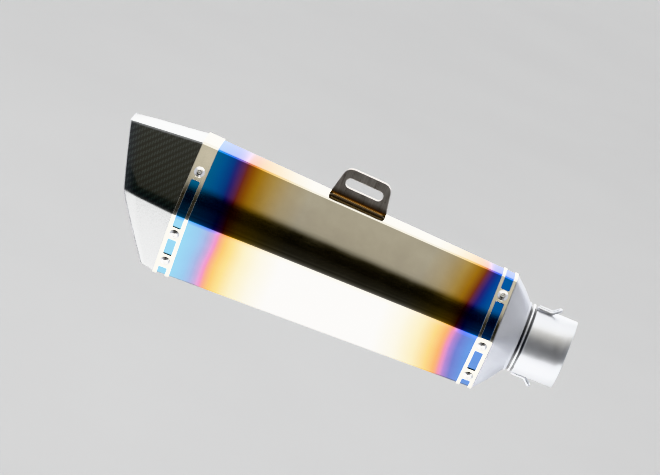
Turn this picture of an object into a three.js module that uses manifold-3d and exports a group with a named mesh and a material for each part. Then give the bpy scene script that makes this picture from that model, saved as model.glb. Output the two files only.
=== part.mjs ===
// Slip-on exhaust muffler for a motorcycle: tapered six-sided sleeve, slash-cut end cap,
// hexagon-to-round front cone and a straight-through perforated core.
// Millimetres, +Z up. +X runs along the muffler towards the inlet, and the origin is the
// centre of the inlet pipe's open end, on the pipe's axis.
import * as THREE from "three";
import { mergeVertices } from "three/addons/utils/BufferGeometryUtils.js";
import Module from "manifold-3d";

const wasm = await Module();
wasm.setup();

// ---- driving dimensions ----------------------------------------------------------------

const GAP = 0.3;                 // clearance between touching pieces

const BODY_DROP = 4.5;           // the hexagon's centre line lies this far below the pipe's axis
const CORNER_RADIUS = 4;         // top and bottom corners of the hexagon
const LATERAL_RADIUS = 9;        // the two lateral corners
const LATERAL_LIFT = 3.8;        // the lateral corners lie this far above mid height
const TOP_CROWN = 2;             // degrees that the top face's normal turns on each side
const SIDE_CROWN = 4;            // degrees that a side face's normal turns on each side
const ARC_STEPS = { top: 2, corner: 3, side: 5, lateral: 2 };

// Stations of the outer surface: x, half height, half width, rise of the centre line, and
// tilt, which is how many degrees each side face's normal lies above or below level.
const SLEEVE_REAR = { x: -370, halfHeight: 64.4, halfWidth: 50.4, rise: -0.3, tilt: 26.5 };
const SLEEVE_FRONT = { x: -65.5, halfHeight: 54.4, halfWidth: 42, rise: 0, tilt: 31 };
const CAP_END = { x: -440, halfHeight: 55, halfWidth: 41.5, rise: 1.6, tilt: 26.5 };

const SLEEVE_WALL = 1.2;
const BAND_WALL = 0.8;
const SPIGOT_WALL = 1.5;         // part of the cap and of the cone that sits inside the sleeve
const CAP_WALL = 1.8;

const FRONT_BAND_WIDTH = 14;
const REAR_BAND_WIDTH = 15;
const WINDOW_WIDTH = 8.2;
// Windows and rivets are placed by their distance along the outer surface, in millimetres
// from the middle of the top face; each side row is repeated on the other side.
const FRONT_LAYOUT = {
  across: [[-23.3, 23.3], [127, 170]], side: [[35.6, 71.4], [87.3, 112.5]], rivets: [29, 79.8, 120.8],
};
const REAR_LAYOUT = {
  across: [[151, 214.5]], side: [[53.2, 101.6], [115.5, 135]], rivets: [45.1, 108.6, 142.6],
};

const RIVET = { holeRadius: 2.4, shankRadius: 2.1, headRadius: 4.8, headHeight: 1.9, grip: 4.9 };
const RIVET_SIDES = 12;

const MOUTH = { x: -417, upperSlope: -0.35, lowerSlope: -0.57, blend: 8 };   // slash cut, dx/dz

const PIPE = { boreRadius: 30.25, outerRadius: 31.55, neckRadius: 31.1, shoulderX: -37.5, endX: -62 };
const NECK = { coneX: -46, lipX: -44, lipRadius: 32.4, ridgeX: -41, ridgeWidth: 1.6, ridgeRadius: 32.3 };
const CONE_BULGE = 1.1;
const ROUND_SIDES = 48;
const CORE_SIDES = 36;

const CORE = { outerRadius: 29.95, wall: 1, frontX: -50, rearX: -372 };
const PERFORATION = { radius: 4, rows: 9, columns: 5, firstX: -104, lastX: -334, sides: 6 };
const WOOL_THICKNESS = 2.8;
const PLATE = { thickness: 1.5, frontX: -83, rearX: -352, rim: 7 };
const OUTLET = { wall: 1.25, rearX: -386, lip: 2.4 };

const BRACKET = {
  x: -222.4, base: 55, top: 43, height: 29.5, corner: 8, thickness: 3,
  slotLength: 36, slotWidth: 9, slotHeight: 16.3, weldLeg: 3, weldLength: 51,
};

const HOOK = {
  wireRadius: 1.35, rootX: -37, bendX: -24.2, tipX: -19.6, legHalfGap: 2, tipHeight: 4.2,
  upperAngle: 6, lowerAngle: 180, sides: 8, steps: 36,
};

// ---- materials --------------------------------------------------------------------------

function metal(color, roughness, metalness = 1) {
  return new THREE.MeshStandardMaterial({ color, roughness, metalness });
}

const TITANIUM = metal(0xa59b82, 0.22);
const BAND_STEEL = metal(0xc9c3b4, 0.25);
const CARBON = metal(0x15171a, 0.18, 0);
const BLASTED = metal(0xc3c5cf, 0.6);
const SATIN_STEEL = metal(0x9fa2a5, 0.4);
const BRACKET_STEEL = metal(0x4a4540, 0.35);
const RIVET_STEEL = metal(0xc4c2be, 0.25);
const CORE_STEEL = metal(0x8f8c88, 0.5);
const GLASS_WOOL = metal(0xd9cfa8, 0.95, 0);
const STEEL_WOOL = metal(0x77756f, 0.85, 0.6);

// ---- the six-sided section --------------------------------------------------------------

const radians = THREE.MathUtils.degToRad;

// Sizes of the outer surface at a station, straight between the stations above.
function stationAt(x) {
  const [a, b] = x < SLEEVE_REAR.x ? [SLEEVE_REAR, CAP_END] : [SLEEVE_REAR, SLEEVE_FRONT];
  const t = (x - a.x) / (b.x - a.x);
  return {
    halfHeight: THREE.MathUtils.lerp(a.halfHeight, b.halfHeight, t),
    halfWidth: THREE.MathUtils.lerp(a.halfWidth, b.halfWidth, t),
    centreZ: THREE.MathUtils.lerp(a.rise, b.rise, t) - BODY_DROP,
    tilt: THREE.MathUtils.lerp(a.tilt, b.tilt, t),
  };
}

// A quarter of the section is four tangent arcs: top face, corner, side face and lateral
// corner. The two face radii follow from the half height and the half width.
function quarterArcs({ halfHeight, halfWidth, tilt }) {
  const angles = [90, 90 - TOP_CROWN, tilt + SIDE_CROWN, tilt - SIDE_CROWN, 0].map(radians);
  const turn = (i) => [
    Math.cos(angles[i + 1]) - Math.cos(angles[i]),
    Math.sin(angles[i + 1]) - Math.sin(angles[i]),
  ];
  const [top, corner, side, lateral] = [0, 1, 2, 3].map(turn);
  const restY = halfWidth - CORNER_RADIUS * corner[0] - LATERAL_RADIUS * lateral[0];
  const restZ = -halfHeight - CORNER_RADIUS * corner[1] - LATERAL_RADIUS * lateral[1];
  const determinant = top[0] * side[1] - side[0] * top[1];
  const topRadius = (restY * side[1] - side[0] * restZ) / determinant;
  const sideRadius = (top[0] * restZ - restY * top[1]) / determinant;
  return { angles, radii: [topRadius, CORNER_RADIUS, sideRadius, LATERAL_RADIUS] };
}

// Points [y, z] from the middle of the top face to the lateral point, moved out by offset.
function quarterPoints(station, offset) {
  const { angles, radii } = quarterArcs(station);
  const steps = [ARC_STEPS.top, ARC_STEPS.corner, ARC_STEPS.side, ARC_STEPS.lateral];
  const points = [[0, station.halfHeight + offset]];
  radii.forEach((radius, i) => {
    const [y, z] = points[points.length - 1];
    for (let k = 1; k <= steps[i]; k++) {
      const angle = angles[i] + ((angles[i + 1] - angles[i]) * k) / steps[i];
      const reach = radius + offset;
      points.push([
        y + reach * (Math.cos(angle) - Math.cos(angles[i])),
        z + reach * (Math.sin(angle) - Math.sin(angles[i])),
      ]);
    }
  });
  return points;
}

// The closed section at x, starting at the top and running down the -Y side first.
function sectionRing(x, offset) {
  const station = stationAt(x);
  const { halfHeight, centreZ } = station;
  const quarter = quarterPoints(station, offset);
  const down = quarter.slice(0, -1).map(([y, z]) => [-y, z]);
  const nearHalf = [...down, ...quarter.slice(1).reverse().map(([y, z]) => [-y, -z])];
  const farHalf = nearHalf.map(([y, z]) => [-y, -z]);
  return [...nearHalf, ...farHalf].map(([y, z]) => {
    const lift = LATERAL_LIFT * (1 - Math.abs(z) / (halfHeight + offset));
    return new THREE.Vector3(x, y, z + lift + centreZ);
  });
}

// A circle about the pipe's axis with as many points as the section, in the same order.
function roundRing(x, radius) {
  const quarterSteps = Object.values(ARC_STEPS).reduce((sum, steps) => sum + steps, 0);
  return Array.from({ length: 4 * quarterSteps }, (_, i) => {
    const angle = (Math.PI / 2) * (1 + i / quarterSteps);
    return new THREE.Vector3(x, radius * Math.cos(angle), radius * Math.sin(angle));
  });
}

// ---- mesh helpers -----------------------------------------------------------------------

function signedVolume(positions, index) {
  const [a, b, c] = [new THREE.Vector3(), new THREE.Vector3(), new THREE.Vector3()];
  let volume = 0;
  for (let i = 0; i < index.length; i += 3) {
    a.fromArray(positions, index[i] * 3);
    b.fromArray(positions, index[i + 1] * 3);
    c.fromArray(positions, index[i + 2] * 3);
    volume += a.dot(b.cross(c)) / 6;
  }
  return volume;
}

// A closed geometry with shared vertices and its faces pointing out.
function closedGeometry(positions, index) {
  const faces = [...index];
  if (signedVolume(positions, faces) < 0) faces.reverse();
  const geometry = new THREE.BufferGeometry();
  geometry.setAttribute("position", new THREE.Float32BufferAttribute(positions, 3));
  geometry.setIndex(faces);
  return geometry;
}

function welded(geometry) {
  geometry.deleteAttribute("normal");
  geometry.deleteAttribute("uv");
  const merged = mergeVertices(geometry, 1e-3);
  return closedGeometry([...merged.attributes.position.array], [...merged.index.array]);
}

// Joins rings of equal length; the last ring meets the first one, or both ends are capped.
function loft(rings, capped = false) {
  const size = rings[0].length;
  const positions = rings.flat().flatMap((point) => point.toArray());
  const index = [];
  const spans = capped ? rings.length - 1 : rings.length;
  for (let r = 0; r < spans; r++) {
    const next = (r + 1) % rings.length;
    for (let i = 0; i < size; i++) {
      const j = (i + 1) % size;
      const [a, b, c, d] = [r * size + i, r * size + j, next * size + j, next * size + i];
      index.push(a, b, c, a, c, d);
    }
  }
  if (capped) {
    const last = (rings.length - 1) * size;
    for (let i = 1; i < size - 1; i++) index.push(0, i + 1, i, last, last + i, last + i + 1);
  }
  return closedGeometry(positions, index);
}

// Turns a closed profile of [x, radius] points about the pipe's axis.
function turned(profile, sides = ROUND_SIDES) {
  const loop = [...profile, profile[0]].map(([x, radius]) => new THREE.Vector2(radius, x));
  return welded(new THREE.LatheGeometry(loop, sides).rotateZ(-Math.PI / 2));
}

function tube(x0, x1, inner, outer, sides) {
  return turned([[x0, inner], [x1, inner], [x1, outer], [x0, outer]], sides);
}

function toManifold(geometry) {
  return new wasm.Manifold(new wasm.Mesh({
    numProp: 3,
    vertProperties: new Float32Array(geometry.attributes.position.array),
    triVerts: new Uint32Array(geometry.index.array),
  }));
}

function cut(geometry, cutters) {
  let solid = toManifold(geometry);
  for (const cutter of cutters) solid = solid.subtract(toManifold(cutter));
  const mesh = solid.getMesh();
  return closedGeometry([...mesh.vertProperties], [...mesh.triVerts]);
}

// ---- places on the outer surface --------------------------------------------------------

// Point of a ring at a distance along it from the middle of the top, -Y side positive.
function alongRing(ring, distance) {
  const lengths = ring.map((point, i) => point.distanceTo(ring[(i + 1) % ring.length]));
  const total = lengths.reduce((sum, length) => sum + length, 0);
  let rest = ((distance % total) + total) % total;
  let i = 0;
  while (rest > lengths[i]) rest -= lengths[i++];
  return ring[i].clone().lerp(ring[(i + 1) % ring.length], rest / lengths[i]);
}

function surfacePlace(x, distance) {
  const reach = 1;
  const [rear, middle, front] = [x - reach, x, x + reach].map((station) => sectionRing(station, 0));
  const lengthwise = alongRing(front, distance).sub(alongRing(rear, distance));
  const across = alongRing(middle, distance + reach).sub(alongRing(middle, distance - reach));
  const normal = lengthwise.cross(across).normalize();
  const point = alongRing(middle, distance);
  const outward = point.clone().setX(0).add(new THREE.Vector3(0, 0, BODY_DROP));
  if (normal.dot(outward) < 0) normal.negate();
  return { point, normal };
}

function alignToNormal(geometry, { point, normal }, lift) {
  const turn = new THREE.Quaternion().setFromUnitVectors(new THREE.Vector3(0, 1, 0), normal);
  const at = point.clone().addScaledVector(normal, lift);
  return geometry.applyQuaternion(turn).translate(at.x, at.y, at.z);
}

const frontBandX = SLEEVE_FRONT.x - FRONT_BAND_WIDTH / 2;
const rearBandX = SLEEVE_REAR.x + REAR_BAND_WIDTH / 2;

function rivetPlaces(x, layout) {
  return [...layout.rivets, ...layout.rivets.map((distance) => -distance)]
    .map((distance) => surfacePlace(x, distance));
}

const frontRivets = rivetPlaces(frontBandX, FRONT_LAYOUT);
const rearRivets = rivetPlaces(rearBandX, REAR_LAYOUT);

function rivetHoles(places) {
  const [depth, sides] = [20, 10];
  return places.map((place) => alignToNormal(
    welded(new THREE.CylinderGeometry(RIVET.holeRadius, RIVET.holeRadius, depth, sides)), place, 0));
}

// ---- sleeve and riveted bands -----------------------------------------------------------

function shellBetween(x0, x1, outer, inner) {
  return loft([
    sectionRing(x0, outer), sectionRing(x1, outer), sectionRing(x1, inner), sectionRing(x0, inner),
  ]);
}

function sleeve() {
  const shell = shellBetween(SLEEVE_REAR.x, SLEEVE_FRONT.x, 0, -SLEEVE_WALL);
  return cut(shell, [...rivetHoles(frontRivets), ...rivetHoles(rearRivets)]);
}

// A cutter that follows the band's surface from one distance to another.
function windowCutter(x, from, to) {
  const step = 3;
  const count = Math.ceil((to - from) / step);
  const half = WINDOW_WIDTH / 2;
  const middle = sectionRing(x, 0);
  const rings = [];
  for (let k = 0; k <= count; k++) {
    const distance = from + ((to - from) * k) / count;
    const base = alongRing(middle, distance);
    const { normal } = surfacePlace(x, distance);
    const high = base.clone().addScaledVector(normal, 3 * BAND_WALL);
    rings.push([
      base.clone().setX(x - half), base.clone().setX(x + half), high.clone().setX(x + half),
      high.clone().setX(x - half),
    ]);
  }
  return loft(rings, true);
}

function band(x0, x1, layout, rivets) {
  const middle = (x0 + x1) / 2;
  const ring = shellBetween(x0, x1, GAP + BAND_WALL, GAP);
  const mirrored = layout.side.map(([from, to]) => [-to, -from]);
  const windows = [...layout.across, ...layout.side, ...mirrored];
  const cutters = windows.map(([from, to]) => windowCutter(middle, from, to));
  return cut(ring, [...cutters, ...rivetHoles(rivets)]);
}

// ---- end cap ----------------------------------------------------------------------------

// The slash cut in side view: two straight slopes that blend at mid height.
function mouthX(z) {
  const mean = (MOUTH.upperSlope + MOUTH.lowerSlope) / 2;
  const bend = (MOUTH.upperSlope - MOUTH.lowerSlope) / 2;
  return MOUTH.x + mean * z + bend * (Math.hypot(z, MOUTH.blend) - MOUTH.blend);
}

// A ring of the cap, a fraction of the way from its root to the slash cut.
function capRing(fraction, rootX, offset) {
  return sectionRing(rootX, offset).map((root, i) => {
    let point = root;
    for (let pass = 0; pass < 4; pass++) {
      const x = THREE.MathUtils.lerp(rootX, mouthX(point.z + BODY_DROP), fraction);
      point = sectionRing(x, offset)[i];
    }
    return point;
  });
}

function endCap() {
  const spigot = -SLEEVE_WALL - GAP;
  const rootX = SLEEVE_REAR.x - GAP;
  const spigotX = SLEEVE_REAR.x + REAR_BAND_WIDTH - 1;
  const outer = [0, 0.5, 1].map((fraction) => capRing(fraction, rootX, 0));
  const inner = [1, 0.5, 0.04].map((fraction) => capRing(fraction, rootX, -CAP_WALL));
  const body = loft([
    sectionRing(spigotX, spigot), sectionRing(rootX, spigot), ...outer,
    ...inner, sectionRing(rootX, spigot - SPIGOT_WALL), sectionRing(spigotX, spigot - SPIGOT_WALL),
  ]);
  return cut(body, rivetHoles(rearRivets));
}

// ---- front cone, neck and inlet pipe ----------------------------------------------------

function coneRing(fraction, inset) {
  const rootX = SLEEVE_FRONT.x + GAP - inset / 2;
  const root = sectionRing(rootX, -inset);
  const neck = roundRing(NECK.coneX - inset / 2, NECK.lipRadius - inset);
  const bulge = 4 * CONE_BULGE * fraction * (1 - fraction);
  return root.map((point, i) => {
    const at = point.clone().lerp(neck[i], fraction);
    const outward = new THREE.Vector3(0.7, point.y, point.z).normalize();
    return at.addScaledVector(outward, bulge);
  });
}

function frontCone() {
  const spigot = -SLEEVE_WALL - GAP;
  const rootX = SLEEVE_FRONT.x + GAP;
  const spigotX = SLEEVE_FRONT.x - FRONT_BAND_WIDTH + 1;
  const lipInner = PIPE.neckRadius + GAP;
  const rootWall = SPIGOT_WALL - spigot;
  const lipWall = NECK.lipRadius - lipInner;
  const wallAt = (fraction) => THREE.MathUtils.lerp(rootWall, lipWall, fraction);
  const outer = [0, 0.33, 0.66, 1].map((fraction) => coneRing(fraction, 0));
  const inner = [1, 0.5, 0].map((fraction) => coneRing(fraction, wallAt(fraction)));
  const body = loft([
    sectionRing(spigotX, spigot), sectionRing(rootX, spigot), ...outer,
    roundRing(NECK.lipX, NECK.lipRadius), roundRing(NECK.lipX, lipInner),
    ...inner, sectionRing(spigotX, spigot - SPIGOT_WALL),
  ]);
  return cut(body, rivetHoles(frontRivets));
}

function neckRidge() {
  const inner = PIPE.neckRadius + GAP;
  const half = NECK.ridgeWidth / 2;
  const shoulder = (inner + NECK.ridgeRadius) / 2;
  return turned([
    [NECK.ridgeX - half, inner], [NECK.ridgeX + half, inner], [NECK.ridgeX + half, shoulder],
    [NECK.ridgeX + half / 2, NECK.ridgeRadius], [NECK.ridgeX - half / 2, NECK.ridgeRadius],
    [NECK.ridgeX - half, shoulder],
  ]);
}

function inletPipe() {
  const slope = 0.5;
  return turned([
    [0, PIPE.boreRadius], [0, PIPE.outerRadius], [PIPE.shoulderX, PIPE.outerRadius],
    [PIPE.shoulderX - slope, PIPE.neckRadius], [PIPE.endX, PIPE.neckRadius], [PIPE.endX, PIPE.boreRadius],
  ]);
}

// ---- spring hooks -----------------------------------------------------------------------

// A hairpin of wire: two legs along the pipe and a closed end bent away from it.
function springHook(angle) {
  const height = PIPE.outerRadius + HOOK.wireRadius + GAP;
  const middleX = (HOOK.bendX + HOOK.tipX) / 2;
  const leg = [
    [HOOK.rootX, 0], [(HOOK.rootX + HOOK.bendX) / 2, 0], [HOOK.bendX, 0.3],
    [middleX, HOOK.tipHeight / 2], [HOOK.tipX, HOOK.tipHeight],
  ];
  const side = (sign) => leg.map(([x, h]) => new THREE.Vector3(x, sign * HOOK.legHalfGap, height + h));
  const crown = new THREE.Vector3(HOOK.tipX + 1.2, 0, height + HOOK.tipHeight + 1.2);
  const path = new THREE.CatmullRomCurve3([...side(-1), crown, ...side(1).reverse()], false, "centripetal");
  const wire = new THREE.Shape().absarc(0, 0, HOOK.wireRadius, 0, 2 * Math.PI);
  const geometry = new THREE.ExtrudeGeometry(wire, {
    steps: HOOK.steps, extrudePath: path, curveSegments: HOOK.sides / 2,
  });
  return welded(geometry).rotateX(radians(angle));
}

// ---- hanger bracket ---------------------------------------------------------------------

function bracketPlate() {
  const { base, top, height, corner, slotLength, slotWidth, slotHeight, thickness } = BRACKET;
  const edge = new THREE.Vector2((base - top) / 2, -height).setLength(corner);
  const outline = new THREE.Shape();
  outline.moveTo(-base / 2, GAP);
  outline.lineTo(base / 2, GAP);
  outline.lineTo(top / 2 + edge.x, height + edge.y);
  outline.quadraticCurveTo(top / 2, height, top / 2 - corner, height);
  outline.lineTo(corner - top / 2, height);
  outline.quadraticCurveTo(-top / 2, height, -top / 2 - edge.x, height + edge.y);
  outline.closePath();
  const slot = new THREE.Path();
  const reach = (slotLength - slotWidth) / 2;
  slot.absarc(reach, slotHeight, slotWidth / 2, -Math.PI / 2, Math.PI / 2);
  slot.absarc(-reach, slotHeight, slotWidth / 2, Math.PI / 2, (3 * Math.PI) / 2);
  slot.closePath();
  outline.holes.push(slot);
  const settings = { depth: thickness, bevelEnabled: false, curveSegments: 8 };
  const plate = new THREE.ExtrudeGeometry(outline, settings);
  return welded(plate.translate(0, 0, -thickness / 2).rotateX(Math.PI / 2));
}

// A fillet bead along one side of the bracket's foot.
function bracketWeld(sign) {
  const { thickness, weldLeg, weldLength } = BRACKET;
  const foot = thickness / 2 + GAP;
  const profile = new THREE.Shape();
  profile.moveTo(foot, GAP);
  profile.lineTo(foot + weldLeg, GAP);
  profile.quadraticCurveTo(foot + weldLeg / 2, GAP + weldLeg / 2, foot, GAP + weldLeg);
  profile.closePath();
  const settings = { depth: weldLength, bevelEnabled: false, curveSegments: 4 };
  const bead = new THREE.ExtrudeGeometry(profile, settings);
  bead.translate(0, 0, -weldLength / 2).rotateX(Math.PI / 2).rotateZ((sign * Math.PI) / 2);
  return welded(bead);
}

// ---- rivets -----------------------------------------------------------------------------

// A blind rivet standing along +Y: hollow-topped dome head, shank and formed tail.
function rivet() {
  const { shankRadius, headRadius, headHeight, grip } = RIVET;
  const tail = 2.7;
  const bulb = shankRadius + 1;
  const profile = [
    [0, -grip - tail], [bulb, -grip - tail / 2], [shankRadius, -grip], [shankRadius, 0],
    [headRadius, 0], [headRadius, 0.4], [headRadius * 0.72, headHeight * 0.75],
    [headRadius * 0.36, headHeight], [headRadius * 0.28, headHeight * 0.55], [0, headHeight * 0.55],
  ];
  const points = profile.map(([radius, height]) => new THREE.Vector2(radius, height));
  return welded(new THREE.LatheGeometry(points, RIVET_SIDES));
}

// ---- inside the sleeve ------------------------------------------------------------------

function perforatedCore() {
  const { outerRadius, wall, frontX, rearX } = CORE;
  const { radius, rows, columns, firstX, lastX, sides } = PERFORATION;
  const punches = [];
  for (let row = 0; row < rows; row++) {
    const x = firstX + ((lastX - firstX) * row) / (rows - 1);
    for (let column = 0; column < columns; column++) {
      const angle = (2 * Math.PI * (column + (row % 2) / 2)) / columns;
      const punch = welded(new THREE.CylinderGeometry(radius, radius, 6, sides));
      punch.translate(0, outerRadius, 0).rotateX(angle).translate(x, 0, 0);
      punches.push(punch);
    }
  }
  return cut(tube(rearX, frontX, outerRadius - wall, outerRadius, CORE_SIDES), punches);
}

// Fills the sleeve around the wool, with a round bore.
function packing() {
  const margin = 3 * GAP;
  const boreRadius = CORE.outerRadius + WOOL_THICKNESS + 3 * GAP;
  const [rearX, frontX] = [PLATE.rearX + PLATE.thickness + 1, PLATE.frontX - PLATE.thickness - 1];
  const rims = [rearX, frontX].map((x) => sectionRing(x, -SLEEVE_WALL - PLATE.thickness - margin));
  return loft([
    rims[0], rims[1], roundRing(frontX, boreRadius), roundRing(rearX, boreRadius),
  ]);
}

function steelWool() {
  const inner = CORE.outerRadius + GAP;
  const [rearX, frontX] = [PLATE.rearX + PLATE.thickness + 1, PLATE.frontX - PLATE.thickness - 1];
  return tube(rearX, frontX, inner, inner + WOOL_THICKNESS, CORE_SIDES);
}

// A dished plate that centres the core; its rim points towards rimX along the sleeve.
function corePlate(x, rimX) {
  const outer = -SLEEVE_WALL - GAP;
  const inner = outer - PLATE.thickness;
  const face = x + Math.sign(rimX - x) * PLATE.thickness;
  const boreRadius = CORE.outerRadius + 1.5 * GAP;
  return loft([
    sectionRing(x, outer), sectionRing(rimX, outer), sectionRing(rimX, inner), sectionRing(face, inner),
    roundRing(face, boreRadius), roundRing(x, boreRadius),
  ]);
}

function outletTube() {
  const inner = CORE.outerRadius + GAP;
  const outer = inner + OUTLET.wall;
  const frontX = PLATE.rearX - GAP;
  const lip = OUTLET.lip;
  return turned([
    [frontX, inner], [frontX, outer], [OUTLET.rearX + 2 * lip, outer],
    [OUTLET.rearX + lip, outer + 0.4 * lip], [OUTLET.rearX, outer + lip],
    [OUTLET.rearX - 0.4 * lip, outer + 0.7 * lip],
    [OUTLET.rearX, outer + 0.1 * lip], [OUTLET.rearX + 1.2 * lip, inner],
  ]);
}

// ---- the assembly -----------------------------------------------------------------------

const muffler = new THREE.Group();

function add(name, geometry, material, parent = muffler) {
  const mesh = new THREE.Mesh(geometry, material);
  mesh.name = name;
  parent.add(mesh);
  return mesh;
}

const frontBandRear = SLEEVE_FRONT.x - FRONT_BAND_WIDTH;
const rearBandFront = SLEEVE_REAR.x + REAR_BAND_WIDTH;

add("sleeve", sleeve(), TITANIUM);
add("front_band", band(frontBandRear, SLEEVE_FRONT.x, FRONT_LAYOUT, frontRivets), BAND_STEEL);
add("rear_band", band(SLEEVE_REAR.x, rearBandFront, REAR_LAYOUT, rearRivets), BAND_STEEL);
add("end_cap", endCap(), CARBON);
add("front_cone", frontCone(), BLASTED);
add("neck_ridge", neckRidge(), SATIN_STEEL);
add("inlet_pipe", inletPipe(), SATIN_STEEL);
add("upper_spring_hook", springHook(HOOK.upperAngle), SATIN_STEEL);
add("lower_spring_hook", springHook(HOOK.lowerAngle), SATIN_STEEL);

add("perforated_core", perforatedCore(), CORE_STEEL);
add("steel_wool_wrap", steelWool(), STEEL_WOOL);
add("glass_wool_packing", packing(), GLASS_WOOL);
add("front_core_plate", corePlate(PLATE.frontX, PLATE.frontX - PLATE.rim), CORE_STEEL);
add("rear_core_plate", corePlate(PLATE.rearX, PLATE.rearX + PLATE.rim), CORE_STEEL);
add("outlet_tube", outletTube(), CORE_STEEL);

const { halfHeight, centreZ } = stationAt(BRACKET.x);
const topSlope = Math.atan2(
  SLEEVE_REAR.halfHeight - SLEEVE_FRONT.halfHeight, SLEEVE_FRONT.x - SLEEVE_REAR.x);
const bracket = new THREE.Group();
bracket.position.set(BRACKET.x, 0, centreZ + halfHeight);
bracket.rotation.y = topSlope;
muffler.add(bracket);
add("hanger_bracket", bracketPlate(), BRACKET_STEEL, bracket);
add("bracket_weld_left", bracketWeld(-1), BRACKET_STEEL, bracket);
add("bracket_weld_right", bracketWeld(1), BRACKET_STEEL, bracket);

const headLift = 2 * GAP + BAND_WALL;
frontRivets.forEach((place, i) => {
  add(`front_rivet_${i + 1}`, alignToNormal(rivet(), place, headLift), RIVET_STEEL);
});
rearRivets.forEach((place, i) => {
  add(`rear_rivet_${i + 1}`, alignToNormal(rivet(), place, headLift), RIVET_STEEL);
});

export default muffler;
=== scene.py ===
"""Looks of the slip-on exhaust muffler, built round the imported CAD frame. Metres, +Z up, +X to the inlet."""

import math

import bmesh
import bpy
from mathutils import Matrix, Vector, noise


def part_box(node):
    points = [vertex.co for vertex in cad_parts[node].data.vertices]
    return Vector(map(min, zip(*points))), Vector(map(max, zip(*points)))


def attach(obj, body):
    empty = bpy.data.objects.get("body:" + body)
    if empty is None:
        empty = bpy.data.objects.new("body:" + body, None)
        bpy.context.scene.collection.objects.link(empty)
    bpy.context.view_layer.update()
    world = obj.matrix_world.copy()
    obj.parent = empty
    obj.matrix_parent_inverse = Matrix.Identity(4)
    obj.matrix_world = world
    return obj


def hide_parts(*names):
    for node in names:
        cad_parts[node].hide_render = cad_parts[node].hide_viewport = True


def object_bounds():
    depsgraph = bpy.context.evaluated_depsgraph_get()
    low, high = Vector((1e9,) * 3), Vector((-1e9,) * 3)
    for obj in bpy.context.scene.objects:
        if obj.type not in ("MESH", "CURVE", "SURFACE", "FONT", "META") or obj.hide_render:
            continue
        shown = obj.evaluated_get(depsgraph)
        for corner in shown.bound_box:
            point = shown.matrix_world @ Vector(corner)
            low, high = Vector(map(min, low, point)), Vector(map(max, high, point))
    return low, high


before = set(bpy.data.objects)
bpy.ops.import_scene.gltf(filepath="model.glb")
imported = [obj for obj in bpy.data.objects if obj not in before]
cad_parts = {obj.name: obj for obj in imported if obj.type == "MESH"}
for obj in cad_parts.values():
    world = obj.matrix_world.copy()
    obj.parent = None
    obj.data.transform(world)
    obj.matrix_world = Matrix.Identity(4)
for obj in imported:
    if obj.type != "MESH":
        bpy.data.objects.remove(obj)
CAD_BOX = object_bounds()
MM = 0.001
BODY = "root"

# ---- sizes, taken from the frame where it gives them --------------------------------------

GAP = 0.3 * MM                    # clearance that touching pieces keep
REAR_TILT = 26.5                  # degrees that the side faces lean from upright, at each end
FRONT_TILT = 31.0
TOP_CROWN = 2.0                   # half the turn in degrees of the bowed top and side faces
SIDE_CROWN = 4.0
CORNER_RADIUS = 4 * MM
LATERAL_RADIUS = 9 * MM
LATERAL_LIFT = 3.8 * MM           # how far the side creases stand above mid height
SLEEVE_WALL = 1.2 * MM
BAND_WALL = 0.8 * MM
SPIGOT_WALL = 1.5 * MM
CAP_WALL = 1.8 * MM
ARC_STEPS = (5, 8, 16, 8)         # steps along the top, corner, side and lateral arcs


class Station:
    """Half sizes, centre height and face tilt of the six-sided section at one x."""

    def __init__(self, x, half_width, half_height, centre_z, tilt):
        self.x = x
        self.half_width = half_width
        self.half_height = half_height
        self.centre_z = centre_z
        self.tilt = tilt

    def towards(self, other, x):
        t = (x - self.x) / (other.x - self.x)
        return Station(
            x,
            self.half_width + (other.half_width - self.half_width) * t,
            self.half_height + (other.half_height - self.half_height) * t,
            self.centre_z + (other.centre_z - self.centre_z) * t,
            self.tilt + (other.tilt - self.tilt) * t,
        )


def box_middle(node, axis):
    low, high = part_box(node)
    return (low[axis] + high[axis]) / 2


SLEEVE_LOW, SLEEVE_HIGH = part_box("sleeve")
CAP_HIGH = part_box("end_cap")[1]
CONE_LOW, CONE_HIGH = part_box("front_cone")
PIPE_LOW, PIPE_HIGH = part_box("inlet_pipe")
REAR = Station(
    SLEEVE_LOW[0], SLEEVE_HIGH[1], (SLEEVE_HIGH[2] - SLEEVE_LOW[2]) / 2, box_middle("sleeve", 2), REAR_TILT)
FRONT = Station(
    SLEEVE_HIGH[0] + GAP, CONE_HIGH[1], (CONE_HIGH[2] - CONE_LOW[2]) / 2, box_middle("front_cone", 2),
    FRONT_TILT)
# The cap's taper, given by its section just past the end of the cap.
CAP_END = Station(
    -440 * MM, REAR.half_width - 8.9 * MM, REAR.half_height - 9.4 * MM, REAR.centre_z + 1.9 * MM, REAR_TILT)
PIPE_RADIUS = PIPE_HIGH[1]
PIPE_BORE = PIPE_RADIUS - 1.3 * MM
NECK_RADIUS = PIPE_RADIUS - 0.45 * MM


# ---- the six-sided section ------------------------------------------------------------------

def station_at(x):
    return REAR.towards(CAP_END if x < REAR.x else FRONT, x)


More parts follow.
